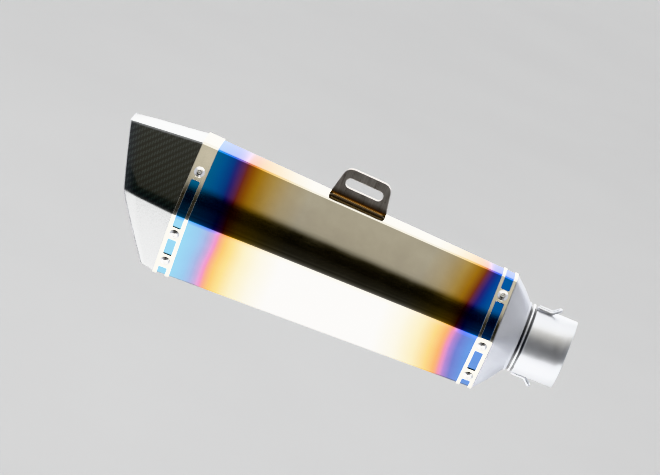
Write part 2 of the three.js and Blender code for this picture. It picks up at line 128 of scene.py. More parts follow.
def quarter_points(station, offset):
    """[y, z] from the middle of the top to the lateral point, as four tangent arcs."""
    degrees = (90, 90 - TOP_CROWN, station.tilt + SIDE_CROWN, station.tilt - SIDE_CROWN, 0)
    angles = [math.radians(value) for value in degrees]
    turns = [
        (math.cos(b) - math.cos(a), math.sin(b) - math.sin(a)) for a, b in zip(angles, angles[1:])]
    top, corner, side, lateral = turns
    rest_y = station.half_width - CORNER_RADIUS * corner[0] - LATERAL_RADIUS * lateral[0]
    rest_z = -station.half_height - CORNER_RADIUS * corner[1] - LATERAL_RADIUS * lateral[1]
    determinant = top[0] * side[1] - side[0] * top[1]
    top_radius = (rest_y * side[1] - side[0] * rest_z) / determinant
    side_radius = (top[0] * rest_z - rest_y * top[1]) / determinant
    radii = (top_radius, CORNER_RADIUS, side_radius, LATERAL_RADIUS)
    points = [(0.0, station.half_height + offset)]
    for i, (radius, count) in enumerate(zip(radii, ARC_STEPS)):
        y, z = points[-1]
        for k in range(1, count + 1):
            angle = angles[i] + (angles[i + 1] - angles[i]) * k / count
            reach = radius + offset
            points.append((
                y + reach * (math.cos(angle) - math.cos(angles[i])),
                z + reach * (math.sin(angle) - math.sin(angles[i]))))
    return points


def section_ring(x, offset):
    """The closed section at x, starting at the top and running down the -Y side first."""
    station = station_at(x)
    quarter = quarter_points(station, offset)
    near = [(-y, z) for y, z in quarter[:-1]] + [(-y, -z) for y, z in reversed(quarter[1:])]
    ring = near + [(-y, -z) for y, z in near]
    reach = station.half_height + offset
    return [
        Vector((x, y, z + LATERAL_LIFT * (1 - abs(z) / reach) + station.centre_z)) for y, z in ring]


def round_ring(x, radius, count):
    """A circle about the pipe's axis in the same order as a section ring."""
    ring = []
    for i in range(count):
        angle = math.pi / 2 + 2 * math.pi * i / count
        ring.append(Vector((x, radius * math.cos(angle), radius * math.sin(angle))))
    return ring


class Track:
    """Places a distance along a ring, measured from the top with the -Y side positive."""

    def __init__(self, ring):
        self.count = len(ring)
        self.lengths = [(ring[(i + 1) % self.count] - p).length for i, p in enumerate(ring)]
        self.total = sum(self.lengths)

    def locate(self, distance):
        rest = distance % self.total
        i = 0
        while rest > self.lengths[i]:
            rest -= self.lengths[i]
            i += 1
        return i, rest / self.lengths[i]

    def point(self, ring, distance):
        i, t = self.locate(distance)
        return ring[i].lerp(ring[(i + 1) % self.count], t)

    def marks(self):
        """The distance of each ring point from the first one."""
        return [sum(self.lengths[:i]) for i in range(self.count)]


# ---- mesh helpers ---------------------------------------------------------------------------

def arc(centre, radius, start, end, steps):
    """Points of a flat arc between two angles in degrees."""
    points = []
    for k in range(steps + 1):
        angle = math.radians(start + (end - start) * k / steps)
        points.append((centre[0] + radius * math.cos(angle), centre[1] + radius * math.sin(angle)))
    return points


def link_object(name, data):
    piece = bpy.data.objects.new(name, data)
    bpy.context.scene.collection.objects.link(piece)
    return piece


def mesh_object(name, points, faces):
    mesh = bpy.data.meshes.new(name)
    mesh.from_pydata([tuple(p) for p in points], [], faces)
    mesh.validate()
    work = bmesh.new()
    work.from_mesh(mesh)
    bmesh.ops.recalc_face_normals(work, faces=work.faces)
    work.to_mesh(mesh)
    work.free()
    return link_object(name, mesh)


def loft(name, rings, capped=False):
    """Joins rings of equal length; the last ring meets the first one, or both ends are capped."""
    size = len(rings[0])
    points = [point for ring in rings for point in ring]
    faces = []
    spans = len(rings) - 1 if capped else len(rings)
    for r in range(spans):
        following = (r + 1) % len(rings)
        for i in range(size):
            j = (i + 1) % size
            faces.append((r * size + i, r * size + j, following * size + j, following * size + i))
    if capped:
        faces.append(tuple(range(size)))
        faces.append(tuple(range((len(rings) - 1) * size, len(rings) * size)))
    return mesh_object(name, points, faces)


def lathe(name, profile, sides=128):
    """Turns a closed profile of (x, radius) about the pipe's axis."""
    return loft(name, [round_ring(x, radius, sides) for x, radius in profile])


def mesh_of(curve):
    """The mesh that a curve makes."""
    holder = link_object(curve.name, curve)
    mesh = bpy.data.meshes.new_from_object(holder.evaluated_get(bpy.context.evaluated_depsgraph_get()))
    bpy.data.objects.remove(holder)
    return mesh


def bevel(piece, width, segments=3, angle=40):
    modifier = piece.modifiers.new("edges", "BEVEL")
    modifier.width = width
    modifier.segments = segments
    modifier.limit_method = "ANGLE"
    modifier.angle_limit = math.radians(angle)
    modifier.use_clamp_overlap = True
    modifier.harden_normals = True
    return piece


def smooth(piece, angle=38):
    piece.data.shade_smooth()
    piece.data.set_sharp_from_angle(angle=math.radians(angle))
    return piece


def settle(piece, material, slot, *nodes):
    """Material, body, and hiding the CAD nodes that the piece stands for; slot is not used."""
    piece.data.materials.clear()
    piece.data.materials.append(material)
    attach(piece, BODY)
    if nodes:
        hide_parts(*nodes)
    return piece


# ---- material helpers -----------------------------------------------------------------------

class Nodes:
    """Short calls for building a node tree."""

    def __init__(self, tree):
        self.tree = tree

    def node(self, kind, inputs=None, **settings):
        node = self.tree.nodes.new("ShaderNode" + kind)
        for key, value in settings.items():
            setattr(node, key, value)
        for key, value in (inputs or {}).items():
            self.feed(node.inputs[key], value)
        return node

    def feed(self, socket, value):
        if isinstance(value, bpy.types.NodeSocket):
            self.tree.links.new(value, socket)
        else:
            socket.default_value = value

    def math(self, operation, *values):
        node = self.node("Math", operation=operation)
        for socket, value in zip(node.inputs, values):
            self.feed(socket, value)
        return node.outputs[0]

    def split(self, vector):
        outputs = self.node("SeparateXYZ", {"Vector": vector}).outputs
        return [outputs[axis] for axis in "XYZ"]

    def remap(self, value, low, high, to_low, to_high, **settings):
        inputs = {
            "Value": value, "From Min": low, "From Max": high, "To Min": to_low, "To Max": to_high}
        return self.node("MapRange", inputs, **settings).outputs[0]

    def ramp(self, factor, stops):
        node = self.node("ValToRGB", {"Fac": factor})
        elements = node.color_ramp.elements
        while len(elements) > 1:
            elements.remove(elements[-1])
        elements[0].position = stops[0][0]
        elements[0].color = (*stops[0][1], 1)
        for position, color in stops[1:]:
            elements.new(position).color = (*color, 1)
        return node.outputs["Color"]

    def mix(self, factor, a, b, blend="MIX"):
        node = self.node("Mix", data_type="RGBA", blend_type=blend)
        self.feed(node.inputs[0], factor)
        for socket, value in ((node.inputs[6], a), (node.inputs[7], b)):
            self.feed(socket, (*value, 1) if isinstance(value, tuple) else value)
        return node.outputs[2]


class Graph(Nodes):
    """A material's nodes round its Principled shader."""

    def __init__(self, name, **settings):
        self.material = bpy.data.materials.new(name)
        self.material.use_nodes = True
        super().__init__(self.material.node_tree)
        self.shader = self.tree.nodes["Principled BSDF"]
        for key, value in settings.items():
            self.shader.inputs[key.replace("_", " ")].default_value = value

    def place(self):
        return self.node("TexCoord").outputs["Object"]

    def scaled(self, vector, scale):
        return self.node("Mapping", {"Vector": vector, "Scale": scale}).outputs[0]

    def stretched(self, scale):
        return self.scaled(self.place(), scale)

    def noise(self, scale, vector, detail=3.0, roughness=0.5):
        inputs = {"Vector": vector, "Scale": scale, "Detail": detail, "Roughness": roughness}
        return self.node("TexNoise", inputs).outputs["Fac"]

    def spread(self, fac, low, high):
        """A noise value's usual range, 0.3 to 0.7, drawn out to low and high."""
        return self.remap(fac, 0.3, 0.7, low, high)

    def grey(self, value):
        return self.node("CombineColor", {"Red": value, "Green": value, "Blue": value}).outputs[0]

    def shaded(self, color, value):
        return self.mix(1.0, color, self.grey(value), "MULTIPLY")

    def bump(self, height, strength, distance):
        inputs = {"Height": height, "Strength": strength, "Distance": distance}
        return self.node("Bump", inputs).outputs[0]

    def out(self, **links):
        for key, value in links.items():
            self.feed(self.shader.inputs[key.replace("_", " ")], value)
        return self.material


# ---- materials ------------------------------------------------------------------------------

# Oxide colours of heated titanium, as (distance in mm inwards from the band, colour). Below the side creases
# paler copies take over. These are painted light: they stand in for the bright light that the lower faces
# reflect.
REAR_TINT = (
    (0, (0.016, 0.195, 0.480)), (11, (0.010, 0.130, 0.470)), (19, (0.030, 0.085, 0.400)),
    (24, (0.100, 0.080, 0.310)), (28.5, (0.190, 0.085, 0.190)), (32, (0.270, 0.085, 0.065)),
    (37, (0.360, 0.130, 0.030)), (44, (0.500, 0.280, 0.055)), (56, (0.590, 0.430, 0.180)),
    (72, (0.590, 0.520, 0.380)), (90, (0.590, 0.565, 0.500)),
)
FRONT_TINT = (
    (0, (0.014, 0.160, 0.620)), (8, (0.022, 0.090, 0.520)), (13, (0.080, 0.080, 0.390)),
    (17, (0.200, 0.090, 0.220)), (20.5, (0.320, 0.105, 0.055)), (27, (0.500, 0.260, 0.050)),
    (37, (0.600, 0.430, 0.170)), (53, (0.590, 0.520, 0.380)), (70, (0.590, 0.565, 0.500)),
)
REAR_LOWER_LIT_TINT = (
    (0, (0.085, 0.180, 0.235)), (12, (0.080, 0.140, 0.200)), (19, (0.090, 0.105, 0.165)),
    (24, (0.130, 0.090, 0.150)), (28.5, (0.215, 0.080, 0.140)), (32, (0.370, 0.150, 0.070)),
    (37, (0.460, 0.260, 0.020)), (44, (0.540, 0.390, 0.070)), (56, (0.580, 0.510, 0.290)),
    (72, (0.590, 0.560, 0.470)), (90, (0.590, 0.580, 0.565)),
)
FRONT_LOWER_LIT_TINT = (
    (0, (0.034, 0.070, 0.160)), (9, (0.040, 0.050, 0.135)), (15, (0.095, 0.055, 0.135)),
    (20, (0.210, 0.075, 0.110)), (25, (0.430, 0.180, 0.020)), (33, (0.530, 0.350, 0.050)),
    (46, (0.580, 0.500, 0.270)), (64, (0.590, 0.560, 0.470)), (84, (0.590, 0.580, 0.565)),
)
TINT_SPAN = 100                   # mm that a tint ramp covers
TINT_WANDER = 1.6 * MM            # how far the colour lines stray
FRONT_LEAN = (-30 * MM, 55 * MM, 0.0, -7 * MM)       # depth range, shift: further back low down
FRONT_BOW = 2.4                   # the front lines bow with the square of the height, per metre
LOWER_LIT_FADE = (-3 * MM, 2 * MM)    # depth below the section's centre where the paler painted-light tints take over


def tint(g, distance, stops):
    factor = g.math("DIVIDE", distance, TINT_SPAN * MM)
    return g.ramp(factor, [(millimetres / TINT_SPAN, color) for millimetres, color in stops])


def titanium():
    """Mirror-like sheet with heat colours that start at both bands."""
    g = Graph("tinted_titanium", Metallic=1.0)
    x, _, z = g.split(g.place())
    wander = g.spread(g.noise(16, g.place(), 1.0), -TINT_WANDER, TINT_WANDER)
    depth = g.math("SUBTRACT", REAR.centre_z, z)
    from_rear = g.math("ADD", g.math("SUBTRACT", x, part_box("rear_band")[1][0]), wander)
    from_front = g.math("ADD", g.math("SUBTRACT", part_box("front_band")[0][0], x), wander)
    from_front = g.math("ADD", from_front, g.remap(depth, *FRONT_LEAN))
    from_front = g.math("ADD", from_front, g.math("MULTIPLY", g.math("MULTIPLY", z, z), FRONT_BOW))
    half = g.math("GREATER_THAN", x, (REAR.x + FRONT.x) / 2)
    upper = g.mix(half, tint(g, from_rear, REAR_TINT), tint(g, from_front, FRONT_TINT))
    # Paler tints on the lower faces: painted light, for the bright light these faces reflect.
    lower_lit = g.mix(half, tint(g, from_rear, REAR_LOWER_LIT_TINT), tint(g, from_front, FRONT_LOWER_LIT_TINT))
    tinted = g.mix(g.remap(depth, *LOWER_LIT_FADE, 0.0, 1.0), upper, lower_lit)
    mottle = g.noise(55, g.place(), 3.0)
    grain = g.noise(1, g.stretched((14, 1500, 1500)), 3.0)
    rough = g.math("ADD", g.spread(grain, 0.03, 0.06), g.spread(mottle, 0.0, 0.015))
    return g.out(
        Base_Color=g.shaded(tinted, g.spread(mottle, 0.95, 1.04)), Roughness=rough,
        Normal=g.bump(grain, 0.006, 0.1 * MM))


def brushed(name, color, rough, direction, grain_bump, spread):
    """Metal with fine lines: direction is the noise scale along X, Y and Z."""
    g = Graph(name, Metallic=1.0)
    grain = g.noise(1, g.stretched(direction), 4.0, 0.6)
    cloud = g.noise(45, g.place(), 3.0)
    return g.out(
        Base_Color=g.shaded(color, g.spread(cloud, 0.9, 1.08)),
        Roughness=g.spread(grain, rough - spread, rough + spread),
        Normal=g.bump(grain, grain_bump, 0.15 * MM))


GROOVE_SHADE = (-38.1 * MM, -37.6 * MM, 0.12, 1.0)   # X range and how dark the groove's painted shade is


def satin():
    """Satin steel of the pipe and hooks, with painted shade darkening the groove behind the pipe's shoulder.
    """
    g = Graph("satin_steel", Metallic=0.82)
    grain = g.noise(1, g.stretched((260, 60, 60)), 4.0, 0.6)
    x, _, _ = g.split(g.place())
    cloud = g.spread(g.noise(45, g.place(), 3.0), 0.9, 1.08)
    # Painted shade: darker in the groove behind the pipe's shoulder.
    shade = g.math("MULTIPLY", cloud, g.remap(x, *GROOVE_SHADE))
    return g.out(
        Base_Color=g.shaded((0.66, 0.67, 0.69), shade), Roughness=g.spread(grain, 0.35, 0.45),
        Normal=g.bump(grain, 0.03, 0.15 * MM))


def blasted(name, color, rough):
    """Bead-blasted metal: a fine isotropic grain."""
    g = Graph(name, Metallic=1.0)
    grain = g.noise(2600, g.place(), 2.0)
    cloud = g.noise(30, g.place(), 3.0)
    return g.out(
        Base_Color=g.shaded(color, g.spread(cloud, 0.94, 1.04)),
        Roughness=g.spread(grain, rough - 0.05, rough + 0.06), Normal=g.bump(grain, 0.25, 0.12 * MM))


TOW = 1.9 * MM                    # width of one carbon tow


def carbon():
    """Two-by-two twill under clear lacquer, on the cap's own length and girth coordinates."""
    g = Graph("carbon_twill", Metallic=0.0, Coat_Weight=1.0, Coat_Roughness=0.02, Coat_IOR=1.52)
    uv = g.node("UVMap", uv_map="girth").outputs[0]
    length, girth, _ = g.split(uv)
    u, v = g.math("DIVIDE", length, TOW), g.math("DIVIDE", girth, TOW)
    step = g.math("FLOORED_MODULO", g.math("ADD", g.math("FLOOR", u), g.math("FLOOR", v)), 4.0)
    warp = g.math("LESS_THAN", step, 1.5)
    across_u = g.math("SINE", g.math("MULTIPLY", g.math("FRACT", u), math.pi))
    across_v = g.math("SINE", g.math("MULTIPLY", g.math("FRACT", v), math.pi))
    height = g.mix(warp, g.grey(across_u), g.grey(across_v))
    fibre_u = g.noise(1, g.scaled(uv, (7000, 300, 1)), 2.0)
    fibre_v = g.noise(1, g.scaled(uv, (300, 7000, 1)), 2.0)
    fibre = g.mix(warp, g.grey(fibre_u), g.grey(fibre_v))
    # Painted sheen: each tow is lighter along its crown, and the tows of one direction are painted darker than
    # the others.
    tow_sheen = g.ramp(g.math("MULTIPLY", height, g.spread(fibre, 0.75, 1.1)), (
        (0.0, (0.003, 0.004, 0.004)), (0.45, (0.015, 0.019, 0.018)), (1.0, (0.026, 0.033, 0.032))))
    color = g.mix(warp, tow_sheen, g.mix(1.0, tow_sheen, (0.36, 0.37, 0.38), "MULTIPLY"))
    return g.out(
        Base_Color=color, Roughness=g.spread(fibre, 0.3, 0.42), Normal=g.bump(height, 0.10, 0.2 * MM))


def cut_edge():
    """Sanded laminate edge: light grey plies along the cut."""
    g = Graph("sanded_cut_edge", Metallic=0.0)
    plies = g.noise(1, g.stretched((500, 2600, 2600)), 4.0, 0.6)
    tone = g.ramp(plies, ((0.3, (0.50, 0.51, 0.53)), (0.7, (0.72, 0.73, 0.75))))
    return g.out(
        Base_Color=tone, Roughness=g.spread(plies, 0.30, 0.5), Normal=g.bump(plies, 0.3, 0.1 * MM))


def wool(name, color, fibre):
    g = Graph(name, Metallic=0.0, Roughness=0.9)
    strands = g.noise(1, g.stretched(fibre), 5.0, 0.7)
    tone = g.ramp(strands, ((0.25, tuple(0.45 * c for c in color)), (0.7, color)))
    return g.out(Base_Color=tone, Normal=g.bump(strands, 0.8, 0.8 * MM))


def bracket_metal():
    """Dark brushed plate with straw and brown heat tint just above the weld."""
    g = Graph("dark_bracket_steel", Metallic=1.0)
    x, _, z = g.split(g.place())
    slope = (REAR.half_height - FRONT.half_height) / (FRONT.x - REAR.x)
    along = g.math("SUBTRACT", x, box_middle("hanger_bracket", 0))
    foot = g.math("ADD", z, g.math("MULTIPLY", along, slope))
    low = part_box("hanger_bracket")[0][2]
    rise = g.remap(foot, low + 2.2 * MM, low + 9 * MM, 0.0, 1.0)
    grain = g.noise(1, g.stretched((1800, 1800, 60)), 4.0, 0.6)
    base = g.ramp(rise, (
        (0.0, (0.16, 0.13, 0.10)), (0.10, (0.30, 0.21, 0.10)), (0.17, (0.62, 0.28, 0.09)),
        (0.25, (0.26, 0.15, 0.09)), (0.40, (0.26, 0.23, 0.205)), (1.0, (0.40, 0.37, 0.34))))
    return g.out(
        Base_Color=g.shaded(base, g.spread(grain, 0.75, 1.2)), Roughness=g.spread(grain, 0.26, 0.42),
        Normal=g.bump(grain, 0.15, 0.15 * MM))


MATERIALS = {
    "tinted_titanium": titanium(),
    "polished_band": brushed("polished_band", (0.82, 0.79, 0.71), 0.10, (900, 60, 60), 0.0, 0.03),
    "carbon_twill": carbon(),
    "cut_edge": cut_edge(),
    "blasted_steel": blasted("blasted_steel", (0.70, 0.71, 0.745), 0.78),
    "satin_steel": satin(),
    "bright_ridge": brushed("bright_ridge", (0.78, 0.78, 0.79), 0.30, (260, 60, 60), 0.0, 0.03),
    "dark_bracket_steel": bracket_metal(),
    "rivet_steel": brushed("rivet_steel", (0.80, 0.79, 0.77), 0.14, (900, 900, 900), 0.04, 0.04),
    "core_steel": brushed("core_steel", (0.42, 0.38, 0.34), 0.42, (200, 900, 900), 0.15, 0.06),
    "glass_wool": wool("glass_wool", (0.80, 0.74, 0.58), (120, 1400, 1400)),
    "steel_wool": wool("steel_wool", (0.36, 0.35, 0.33), (700, 1600, 1600)),
}


# ---- sleeve ---------------------------------------------------------------------------------

def make_sleeve():
    lengthwise = [REAR.x + (SLEEVE_HIGH[0] - REAR.x) * i / 12 for i in range(13)]
    outer = [section_ring(x, 0) for x in lengthwise]
    inner = [section_ring(x, -SLEEVE_WALL) for x in reversed(lengthwise)]
    piece = smooth(bevel(loft("sleeve_skin", outer + inner), 0.25 * MM, 2, 60))
    return settle(piece, MATERIALS["tinted_titanium"], "tinted_titanium", "sleeve")


# ---- bands ----------------------------------------------------------------------------------

WINDOW_WIDTH = 8.2 * MM
WINDOW_CORNER = 1.1 * MM
WINDOW_CLEAR = 1.4 * MM           # no section line of the band comes closer to a window's end
# Distances in mm along the surface from the middle of the top, as in the CAD layout.
FRONT_LAYOUT = {
    "across": ((-23.3, 23.3), (127, 170)), "side": ((35.6, 71.4), (87.3, 112.5)),
    "rivets": (29, 79.8, 120.8)}
REAR_LAYOUT = {
    "across": ((151, 214.5),), "side": ((53.2, 101.6), (115.5, 135)),
    "rivets": (45.1, 108.6, 142.6)}


def windows_of(layout):
    mirrored = [(-b, -a) for a, b in layout["side"]]
    return [(a * MM, b * MM) for a, b in (*layout["across"], *layout["side"], *mirrored)]


def in_window(distance, windows, total):
    return any(a < distance < b or a < distance - total < b for a, b in windows)


def make_band(name, node, layout):
    """A strap round the section with rows of windows, as a grid with the windows' cells left out."""
    low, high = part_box(node)
    middle_x = box_middle(node, 0)
    x_lines = [low[0], middle_x - WINDOW_WIDTH / 2, middle_x + WINDOW_WIDTH / 2, high[0]]
    track = Track(section_ring(middle_x, 0))
    windows = windows_of(layout)
    ends = sorted(edge % track.total for window in windows for edge in window)
    marks = [m for m in track.marks() if all(abs(m - end) > WINDOW_CLEAR for end in ends)]
    stops = sorted(marks + ends)
    rings = {
        (i, side): section_ring(x, GAP + side * BAND_WALL)
        for i, x in enumerate(x_lines) for side in (0, 1)}
    points, index = [], {}
    for j, stop in enumerate(stops):
        for (i, side), ring in rings.items():
            index[i, j, side] = len(points)
            points.append(track.point(ring, stop))
    count = len(stops)

    def solid(i, j):
        if not 0 <= i < len(x_lines) - 1:
            return False
        following = stops[(j + 1) % count] + (track.total if j == count - 1 else 0)
        middle = (stops[j] + following) / 2
        return not (i == 1 and in_window(middle % track.total, windows, track.total))

    faces = []
    for j in range(count):
        k = (j + 1) % count
        for i in range(len(x_lines) - 1):
            if not solid(i, j):
                continue
            for side in (0, 1):
                cell = ((i, j), (i + 1, j), (i + 1, k), (i, k))
                faces.append(tuple(index[(*corner, side)] for corner in cell))
            borders = (
                (solid(i - 1, j), (i, j), (i, k)), (solid(i + 1, j), (i + 1, j), (i + 1, k)),
                (solid(i, j - 1 if j else count - 1), (i, j), (i + 1, j)),
                (solid(i, k), (i, k), (i + 1, k)))
            for filled, a, b in borders:
                if not filled:
                    faces.append((index[(*a, 0)], index[(*b, 0)], index[(*b, 1)], index[(*a, 1)]))
    piece = mesh_object(name, points, faces)
    corners = [(i, j) for j, stop in enumerate(stops) if stop in ends for i in (1, 2)]
    round_window_corners(piece, corners, index)
    smooth(bevel(piece, 0.18 * MM, 2, 50))
    return settle(piece, MATERIALS["polished_band"], "polished_band", node)


def round_window_corners(piece, corners, index):
    work = bmesh.new()
    work.from_mesh(piece.data)
    work.verts.ensure_lookup_table()
    upright = []
    for i, j in corners:
        pair = {work.verts[index[i, j, 0]], work.verts[index[i, j, 1]]}
        upright += [edge for edge in work.edges if set(edge.verts) == pair]
    bmesh.ops.bevel(work, geom=upright, offset=WINDOW_CORNER, segments=4, profile=0.5, affect="EDGES")
    work.to_mesh(piece.data)
    work.free()


# ---- rivets ---------------------------------------------------------------------------------

def rivet_places(node, layout):
    """The surface point and outward normal of each rivet."""
    x = box_middle(node, 0)
    reach = 1 * MM
    rear, middle, front = (section_ring(station, 0) for station in (x - reach, x, x + reach))
    track = Track(middle)
    places = []
    for distance in (*layout["rivets"], *(-d for d in layout["rivets"])):
        at = track.point(middle, distance * MM)
        lengthwise = track.point(front, distance * MM) - track.point(rear, distance * MM)
        across = track.point(middle, distance * MM + reach) - track.point(middle, distance * MM - reach)
        normal = lengthwise.cross(across).normalized()
        if normal.dot(at - Vector((x, 0, REAR.centre_z))) < 0:
            normal.negate()
        places.append((at, normal))
    return places


# (radius, height above the band) in mm: shank, dome head, and the broken stem inside its hole.
RIVET_PROFILE = (
    (0.0, -4.0), (2.0, -4.0), (2.1, -3.6), (2.1, -0.2), (2.6, 0.0), (4.45, 0.0),
    (4.8, 0.12), (4.85, 0.35), (4.6, 0.55), (4.2, 0.72), (3.7, 1.12), (3.1, 1.48),
    (2.5, 1.72), (2.0, 1.84), (1.72, 1.88), (1.58, 1.82), (1.5, 1.62), (1.46, 0.95),
    (1.3, 0.82), (1.16, 0.95), (1.05, 1.18), (0.75, 1.36), (0.4, 1.44), (0.0, 1.46),
)
RIVET_SIDES = 40


def make_rivet(name, node, place):
    """A blind rivet, turned about its normal."""
    at, normal = place
    lift = 2 * GAP + BAND_WALL
    sides = RIVET_SIDES
    side_on = normal.orthogonal().normalized()
    turn = normal.cross(side_on)
    points, faces = [], []
    for radius, height in RIVET_PROFILE:
        for k in range(sides if radius else 1):
            angle = 2 * math.pi * k / sides
            flat = side_on * math.cos(angle) + turn * math.sin(angle)
            points.append(at + normal * (lift + height * MM) + flat * radius * MM)
    last = len(points) - 1
    spans = len(RIVET_PROFILE) - 3    # between the rings, which leaves out the two end points
    for k in range(sides):
        j = (k + 1) % sides
        faces.append((0, 1 + k, 1 + j))
        faces.append((last, last - sides + j, last - sides + k))
        for r in range(spans):
            a, b = 1 + r * sides, 1 + (r + 1) * sides
            faces.append((a + k, b + k, b + j, a + j))
    piece = smooth(mesh_object(name, points, faces), 60)
    return settle(piece, MATERIALS["rivet_steel"], "rivet_steel", node)


# ---- end cap --------------------------------------------------------------------------------

MOUTH_X = -417 * MM
MOUTH_UPPER, MOUTH_LOWER = -0.35, -0.57   # run of the cut in X per unit of height
MOUTH_BLEND = 8 * MM
MOUTH_LEVEL = -4.5 * MM           # height at which the two slopes meet
CAP_LIP = 0.5 * MM                # how far the mouth's edges are rounded
CUT_PROUD = 0.12 * MM             # the bare edge stands this far out of the lacquer
CUT_INSET = 0.45 * MM


def mouth_x(z):
    """The slash cut in side view: two slopes that blend at mid height."""
    mean = (MOUTH_UPPER + MOUTH_LOWER) / 2
    bend = (MOUTH_UPPER - MOUTH_LOWER) / 2
    return MOUTH_X + mean * z + bend * (math.hypot(z, MOUTH_BLEND) - MOUTH_BLEND)


def cap_ring(fraction, root_x, offset, pull=0.0):
    """A ring part of the way from the cap's root to the cut; pull moves it back from the cut."""
    ring = section_ring(root_x, offset)
    for _ in range(4):
        stations = [
            root_x + (mouth_x(p.z - MOUTH_LEVEL) + pull - root_x) * fraction for p in ring]
        ring = [section_ring(x, offset)[i] for i, x in enumerate(stations)]
    return ring


def make_cap():
    spigot = -SLEEVE_WALL - GAP
    root_x = REAR.x - GAP
    spigot_x = CAP_HIGH[0]
    lip = CAP_LIP
    outer = [cap_ring(f, root_x, 0, lip) for f in (0, 0.25, 0.5, 0.75, 1)]
    edge = ((-0.3 * lip, 0.3 * lip), (-lip, 0), (lip - CAP_WALL, 0), (0.3 * lip - CAP_WALL, 0.3 * lip))
    rim = [cap_ring(1, root_x, offset, pull) for offset, pull in edge]
    inner = [cap_ring(f, root_x, -CAP_WALL, lip) for f in (1, 0.5, 0.04)]
    rings = [
        section_ring(spigot_x, spigot), section_ring(root_x, spigot), *outer, *rim, *inner,
        section_ring(root_x, spigot - SPIGOT_WALL), section_ring(spigot_x, spigot - SPIGOT_WALL)]
    piece = loft("carbon_end_cap", rings)
    add_girth_map(piece, rings)
    smooth(piece, 40)
    return settle(piece, MATERIALS["carbon_twill"], "carbon_twill", "end_cap")


def make_cut_edge():
    """The bare edge of the laminate round the mouth, a hair proud of the lacquer."""
    back = 1.2 * CUT_INSET
    corners = (
        (-CUT_INSET, back), (CUT_PROUD, back), (CUT_PROUD, -CUT_PROUD),
        (-CAP_WALL - CUT_PROUD, -CUT_PROUD), (-CAP_WALL - CUT_PROUD, back), (CUT_INSET - CAP_WALL, back))
    rings = [cap_ring(1, REAR.x - GAP, offset, pull) for offset, pull in corners]
    piece = smooth(bevel(loft("cap_cut_edge", rings), 0.12 * MM, 2, 50), 50)
    return settle(piece, MATERIALS["cut_edge"], "carbon_twill")


def add_girth_map(piece, rings):
    """UVs in metres: length along X and distance round each ring, without a jump at the seam."""
    size = len(rings[0])
    tracks = [Track(ring) for ring in rings]
    girth = [mark for track in tracks for mark in track.marks()]
    layer = piece.data.uv_layers.new(name="girth")
    for face in piece.data.polygons:
        wraps = {v % size for v in face.vertices} >= {0, size - 1}
        for loop in face.loop_indices:
            vertex = piece.data.loops[loop].vertex_index
            around = girth[vertex]
            if wraps and vertex % size == 0:
                around = tracks[vertex // size].total
            layer.data[loop].uv = (piece.data.vertices[vertex].co.x, around)


# ---- front cone and neck --------------------------------------------------------------------

CONE_BULGE = 1.1 * MM
CONE_END_X = -46 * MM
LIP_X = -44 * MM
LIP_RADIUS = PIPE_RADIUS + 0.85 * MM
LIP_BREAK = 0.4 * MM
SHOULDER_X = -37.5 * MM           # where the pipe steps down to the neck


def cone_ring(fraction, inset):
    """A ring part of the way from the six-sided root to the round lip, bulged a little outwards."""
    root = section_ring(FRONT.x - inset / 2, -inset)
    neck = round_ring(CONE_END_X - inset / 2, LIP_RADIUS - inset, len(root))
    bulge = 4 * CONE_BULGE * fraction * (1 - fraction)
    ring = []
    for a, b in zip(root, neck):
        outward = Vector((0.7, a.y, a.z)).normalized()
        ring.append(a.lerp(b, fraction) + outward * bulge)
    return ring


def make_cone():
    spigot = -SLEEVE_WALL - GAP
    root_x = CONE_LOW[0]
    lip_inner = NECK_RADIUS + GAP
    root_wall, lip_wall = SPIGOT_WALL - spigot, LIP_RADIUS - lip_inner
    outer = [cone_ring(k / 10, 0) for k in range(11)]
    inner = [cone_ring(f, root_wall + (lip_wall - root_wall) * f) for f in (1, 0.66, 0.33, 0)]
    count = len(outer[0])
    rings = [
        section_ring(root_x, spigot), section_ring(FRONT.x, spigot), *outer,
        round_ring(LIP_X - LIP_BREAK, LIP_RADIUS, count), round_ring(LIP_X, LIP_RADIUS - LIP_BREAK, count),
        round_ring(LIP_X, lip_inner, count), *inner, section_ring(root_x, spigot - SPIGOT_WALL)]
    piece = smooth(bevel(loft("blasted_front_cone", rings), 0.9 * MM, 4, 38), 50)
    return settle(piece, MATERIALS["blasted_steel"], "blasted_steel", "front_cone")


def rounded_band_profile(x0, x1, inner, outer, steps=8):
    """Closed (x, radius) profile of a ring whose outside is a low arch."""
    profile = [(x0, inner), (x1, inner)]
    for k in range(steps + 1):
        angle = math.pi * k / steps
        x = (x0 + x1) / 2 + (x1 - x0) / 2 * math.cos(angle)
        profile.append((x, inner + 0.15 * MM + (outer - inner - 0.15 * MM) * math.sin(angle)))
    return profile


def make_neck():
    low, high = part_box("neck_ridge")
    ridge = lathe("neck_ridge_ring", rounded_band_profile(low[0], high[0], NECK_RADIUS + GAP, high[1]))
    smooth(ridge, 50)
    return settle(ridge, MATERIALS["bright_ridge"], "satin_steel", "neck_ridge")


def make_pipe():
    edge = 0.3 * MM
    bend = 0.3 * edge
    profile = [
        (-edge, PIPE_BORE), (0, PIPE_BORE + edge), (0, PIPE_RADIUS - edge), (-bend, PIPE_RADIUS - bend),
        (-edge, PIPE_RADIUS), (-6 * MM, PIPE_RADIUS), (SHOULDER_X + edge, PIPE_RADIUS),
        (SHOULDER_X, PIPE_RADIUS - bend), (SHOULDER_X - 1.2 * edge, NECK_RADIUS),
        (PIPE_LOW[0], NECK_RADIUS), (PIPE_LOW[0], PIPE_BORE)]
    piece = smooth(lathe("satin_inlet_pipe", profile), 50)
    return settle(piece, MATERIALS["satin_steel"], "satin_steel", "inlet_pipe")


# ---- spring hooks ---------------------------------------------------------------------------

